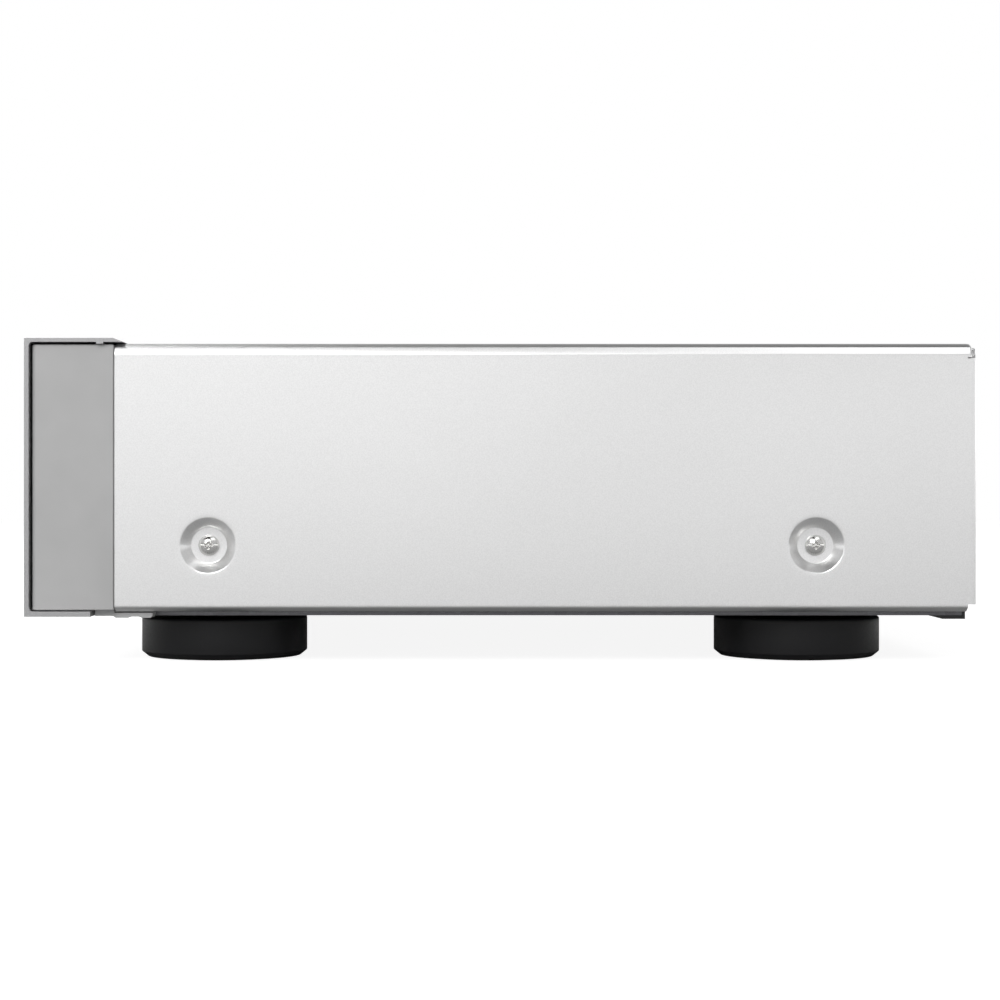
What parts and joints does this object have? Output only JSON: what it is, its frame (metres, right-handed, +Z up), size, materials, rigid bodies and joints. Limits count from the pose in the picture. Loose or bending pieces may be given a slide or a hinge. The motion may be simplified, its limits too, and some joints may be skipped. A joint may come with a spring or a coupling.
{
  "type": "compact disc player",
  "caption": "Full-width disc player in a folded steel case with an aluminium front, a motor-driven disc drawer, round feet and rear signal sockets.",
  "frame": {"origin": "on the shelf, under the middle of the player's overall box", "axes": "+X to the listener's right, +Y from the front to the back, +Z up"},
  "size_m": [0.434, 0.3308, 0.107],
  "materials": {
    "base_chassis": "satin, dark galvanised sheet",
    "top_cover": "satin silver paint, very fine grain",
    "rear_panel": "satin black paint",
    "front_panel": "fine brushed, anodised",
    "front_frame": "moulded, fine grain",
    "end_cap_left": "fine grain",
    "end_cap_right": "fine grain",
    "display_window": "smoked acrylic, polished",
    "display_tube": "vacuum display, grey glass",
    "display_board": "solder mask over glass fibre",
    "foot_front_left": "fine grain",
    "foot_front_right": "fine grain",
    "foot_rear_left": "fine grain",
    "foot_rear_right": "fine grain",
    "foot_pads": "felt-like rubber",
    "foot_screws": "zinc plated",
    "side_screws": "nickel plated",
    "rear_screws": "black oxide",
    "inner_screws": "zinc plated",
    "main_board": "solder mask over glass fibre",
    "power_board": "paper phenolic board",
    "board_parts": "moulded and sleeved components",
    "transformer": "varnished laminations",
    "ribbon_cables": "flat film cable",
    "analog_output_jacks": "gold plated",
    "coaxial_output_jack": "gold plated",
    "optical_output_jack": "moulded",
    "optical_shutter": "moulded",
    "ac_inlet": "moulded",
    "headphone_jack": "moulded, chromed nose ring",
    "level_potentiometer": "zinc plated",
    "level_knob": "fine brushed, anodised",
    "usb_socket": "zinc plated",
    "standby_led": "clear lens",
    "power_button": "fine brushed, anodised",
    "open_close_button": "fine brushed, anodised",
    "play_button": "fine brushed, anodised",
    "stop_button": "fine brushed, anodised",
    "skip_back_button": "fine brushed, anodised",
    "skip_forward_button": "fine brushed, anodised",
    "disc_tray": "fine grain",
    "tray_door": "fine brushed, anodised",
    "loader_frame": "glass filled",
    "clamp_bridge": "zinc plated",
    "clamp_puck": "moulded with a magnet inside",
    "tray_gear": "moulded acetal",
    "pulley_gear": "moulded acetal",
    "motor_pulley": "turned",
    "drive_belt": "square belt",
    "loading_motor": "zinc plated",
    "cam_slide": "moulded acetal",
    "traverse_frame": "glass filled",
    "spindle_motor": "zinc plated",
    "turntable": "rubber faced",
    "guide_rods": "ground",
    "pickup_sled": "die cast",
    "pickup_lens": "lens in a black holder",
    "feed_motor": "zinc plated",
    "feed_gear": "moulded acetal",
    "feed_pinion": "turned"
  },
  "bodies": {
    "case": {"base_chassis": "base_chassis", "top_cover": "top_cover", "rear_panel": "rear_panel", "front_panel": "front_panel", "front_frame": "front_frame", "end_cap_left": "end_cap_left", "end_cap_right": "end_cap_right", "display_window": "display_window", "display_tube": "display_tube", "display_board": "display_board", "foot_front_left": "foot_front_left", "foot_front_right": "foot_front_right", "foot_rear_left": "foot_rear_left", "foot_rear_right": "foot_rear_right", "foot_pads": "foot_pads", "foot_screws": "foot_screws", "side_screws": "side_screws", "rear_screws": "rear_screws", "inner_screws": "inner_screws", "main_board": "main_board", "power_board": "power_board", "board_parts": "board_parts", "transformer": "transformer", "ribbon_cables": "ribbon_cables", "analog_output_jacks": "analog_output_jacks", "coaxial_output_jack": "coaxial_output_jack", "optical_output_jack": "optical_output_jack", "ac_inlet": "ac_inlet", "headphone_jack": "headphone_jack", "level_potentiometer": "level_potentiometer", "usb_socket": "usb_socket", "standby_led": "standby_led", "loader_frame": "loader_frame", "clamp_bridge": "clamp_bridge", "drive_belt": "drive_belt", "loading_motor": "loading_motor"},
    "tray": {"disc_tray": "disc_tray", "tray_door": "tray_door"},
    "tray_gear": {"tray_gear": "tray_gear"},
    "pulley_gear": {"pulley_gear": "pulley_gear"},
    "motor_pulley": {"motor_pulley": "motor_pulley"},
    "traverse": {"traverse_frame": "traverse_frame", "spindle_motor": "spindle_motor", "guide_rods": "guide_rods", "feed_motor": "feed_motor"},
    "cam_slide": {"cam_slide": "cam_slide"},
    "turntable": {"turntable": "turntable"},
    "sled": {"pickup_sled": "pickup_sled"},
    "lens": {"pickup_lens": "pickup_lens"},
    "feed_gear": {"feed_gear": "feed_gear"},
    "feed_pinion": {"feed_pinion": "feed_pinion"},
    "clamp_puck": {"clamp_puck": "clamp_puck"},
    "level_knob": {"level_knob": "level_knob"},
    "optical_shutter": {"optical_shutter": "optical_shutter"},
    "power_button": {"power_button": "power_button"},
    "open_close_button": {"open_close_button": "open_close_button"},
    "play_button": {"play_button": "play_button"},
    "stop_button": {"stop_button": "stop_button"},
    "skip_back_button": {"skip_back_button": "skip_back_button"},
    "skip_forward_button": {"skip_forward_button": "skip_forward_button"}
  },
  "joints": [
    {"name": "tray_slide", "type": "slide", "parent": "case", "child": "tray", "axis": [0, -1, 0], "range_m": [0, 0.138]},
    {"name": "tray_gear_spin", "type": "hinge", "parent": "case", "child": "tray_gear", "pos_m": [-0.052, -0.1, 0.07], "axis": [0, 0, 1], "range_deg": [0, 800]},
    {"name": "pulley_gear_spin", "type": "hinge", "parent": "case", "child": "pulley_gear", "pos_m": [-0.052, -0.075, 0.06], "axis": [0, 0, 1], "range_deg": [-1860, 0]},
    {"name": "motor_pulley_spin", "type": "hinge", "parent": "case", "child": "motor_pulley", "pos_m": [-0.052, -0.038, 0.05], "axis": [0, 0, 1], "range_deg": [-6700, 0]},
    {"name": "traverse_tilt", "type": "hinge", "parent": "case", "child": "traverse", "pos_m": [0.006, 0.018, 0.06725], "axis": [1, 0, 0], "range_deg": [0, 5.3]},
    {"name": "cam_slide_shift", "type": "slide", "parent": "case", "child": "cam_slide", "axis": [-1, 0, 0], "range_m": [0, 0.026]},
    {"name": "sled_feed", "type": "slide", "parent": "traverse", "child": "sled", "axis": [0, 1, 0], "range_m": [0, 0.033]},
    {"name": "feed_gear_spin", "type": "hinge", "parent": "traverse", "child": "feed_gear", "pos_m": [0.0316, -0.028, 0.068], "axis": [0, 0, 1], "range_deg": [-345, 0]},
    {"name": "feed_pinion_spin", "type": "hinge", "parent": "traverse", "child": "feed_pinion", "pos_m": [0.0316, -0.0394, 0.06], "axis": [0, 0, 1], "range_deg": [0, 960]},
    {"name": "turntable_spin", "type": "hinge", "parent": "traverse", "child": "turntable", "pos_m": [0, -0.08, 0.064], "axis": [0, 0, 1], "continuous": true},
    {"name": "clamp_spin", "type": "hinge", "parent": "case", "child": "clamp_puck", "pos_m": [0, -0.08, 0.09], "axis": [0, 0, 1], "continuous": true},
    {"name": "lens_focus", "type": "slide", "parent": "sled", "child": "lens", "axis": [0, 0, 1], "range_m": [-0.0005, 0.0005], "stiffness_N_per_m": 300, "springref_m": 0.00007},
    {"name": "level_knob_turn", "type": "hinge", "parent": "case", "child": "level_knob", "pos_m": [-0.153, -0.156, 0.04], "axis": [0, -1, 0], "range_deg": [-150, 150]},
    {"name": "optical_shutter_swing", "type": "hinge", "parent": "case", "child": "optical_shutter", "pos_m": [0.102, 0.155, 0.0444], "axis": [-1, 0, 0], "range_deg": [0, 80], "stiffness_Nm_per_rad": 0.0004, "springref_deg": -17.19},
    {"name": "power_press", "type": "slide", "parent": "case", "child": "power_button", "axis": [0, 1, 0], "range_m": [0, 0.001], "stiffness_N_per_m": 500, "springref_m": -0.0005},
    {"name": "open_close_press", "type": "slide", "parent": "case", "child": "open_close_button", "axis": [0, 1, 0], "range_m": [0, 0.001], "stiffness_N_per_m": 500, "springref_m": -0.0005},
    {"name": "play_press", "type": "slide", "parent": "case", "child": "play_button", "axis": [0, 1, 0], "range_m": [0, 0.001], "stiffness_N_per_m": 500, "springref_m": -0.0005},
    {"name": "stop_press", "type": "slide", "parent": "case", "child": "stop_button", "axis": [0, 1, 0], "range_m": [0, 0.001], "stiffness_N_per_m": 500, "springref_m": -0.0005},
    {"name": "skip_back_press", "type": "slide", "parent": "case", "child": "skip_back_button", "axis": [0, 1, 0], "range_m": [0, 0.001], "stiffness_N_per_m": 500, "springref_m": -0.0005},
    {"name": "skip_forward_press", "type": "slide", "parent": "case", "child": "skip_forward_button", "axis": [0, 1, 0], "range_m": [0, 0.001], "stiffness_N_per_m": 500, "springref_m": -0.0005}
  ],
  "couplings": [
    {"joint": "tray_gear_spin", "follows": "tray_slide", "rad_per_m": 100},
    {"joint": "pulley_gear_spin", "follows": "tray_slide", "rad_per_m": -233.33},
    {"joint": "motor_pulley_spin", "follows": "tray_slide", "rad_per_m": -833.66},
    {"joint": "cam_slide_shift", "follows": "traverse_tilt", "m_per_rad": 0.28107},
    {"joint": "feed_gear_spin", "follows": "sled_feed", "rad_per_m": -178.57},
    {"joint": "feed_pinion_spin", "follows": "sled_feed", "rad_per_m": 500}
  ]
}
